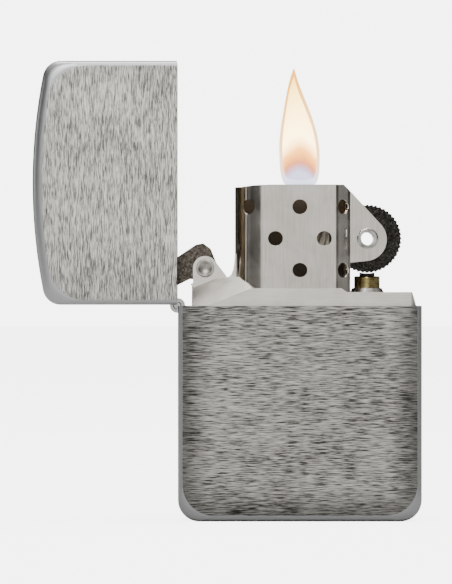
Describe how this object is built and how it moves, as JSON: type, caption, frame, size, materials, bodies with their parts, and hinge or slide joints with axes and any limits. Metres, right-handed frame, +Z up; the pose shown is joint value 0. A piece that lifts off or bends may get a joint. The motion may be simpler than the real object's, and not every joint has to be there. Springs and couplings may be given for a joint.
{
  "type": "flip-top pocket lighter",
  "caption": "Flip-top windproof petrol lighter standing open: brushed case and hinged lid, lift-out insert with drilled windscreen, spark wheel, flint tube and lid cam.",
  "frame": {"origin": "middle of the case's flat bottom face", "axes": "+Z up, +X from the hinge side to the wheel side, +Y from the front face to the back face; the lid stands open at rest"},
  "size_m": [0.0606, 0.0126, 0.0718],
  "materials": {
    "case_metal": "brushed chrome faces with a smooth polished border",
    "hinge_metal": "polished",
    "insert_metal": "satin stainless",
    "rivet_metal": "polished",
    "spring_steel": "bright drawn",
    "cam_steel": "hardened, dark",
    "wheel_steel": "blackened, knurled",
    "flint_metal": "matt",
    "brass": "machined",
    "cotton": "soft",
    "felt": "pressed felt"
  },
  "bodies": {
    "case": {"case_shell": "case_metal", "case_hinge_plate": "hinge_metal", "hinge_pin": "hinge_metal"},
    "lid": {"lid_shell": "case_metal", "lid_hinge_plate": "hinge_metal", "lid_cam_stop": "hinge_metal"},
    "insert": {"insert_can": "insert_metal", "windscreen": "insert_metal", "wheel_rivet": "rivet_metal", "flint_tube": "brass", "tube_collar": "rivet_metal", "flint": "flint_metal", "flint_spring": "spring_steel", "wick": "cotton", "cotton_packing": "cotton", "felt_pad": "felt", "cam_rivet": "rivet_metal", "cam_spring": "spring_steel"},
    "cam": {"cam": "cam_steel"},
    "wheel": {"spark_wheel": "wheel_steel"},
    "flint_screw": {"flint_screw": "brass"},
    "plunger": {"flint_plunger": "brass"}
  },
  "joints": [
    {"name": "lid_hinge", "type": "hinge", "parent": "case", "child": "lid", "pos_m": [-0.0191, 0, 0.03365], "axis": [0, 1, 0], "range_deg": [0, 90]},
    {"name": "insert_slide", "type": "slide", "parent": "case", "child": "insert", "axis": [0, 0, -1], "range_m": [-0.029, 0]},
    {"name": "cam_pivot", "type": "hinge", "parent": "insert", "child": "cam", "pos_m": [-0.01477, 0, 0.03949], "axis": [0, 1, 0], "range_deg": [0, 103.5], "deforming": ["cam_spring"]},
    {"name": "wheel_spin", "type": "hinge", "parent": "insert", "child": "wheel", "pos_m": [0.0106, 0, 0.0441], "axis": [0, 1, 0], "continuous": true},
    {"name": "flint_screw_turn", "type": "hinge", "parent": "insert", "child": "flint_screw", "pos_m": [0.0106, 0, 0.003], "axis": [0, 0, 1], "continuous": true},
    {"name": "plunger_feed", "type": "slide", "parent": "insert", "child": "plunger", "axis": [0, 0, 1], "range_m": [0, 0.003], "deforming": ["flint", "flint_spring"]}
  ],
  "couplings": [
    {"joint": "cam_pivot", "follows": "lid_hinge", "ratio": 1.15}
  ]
}
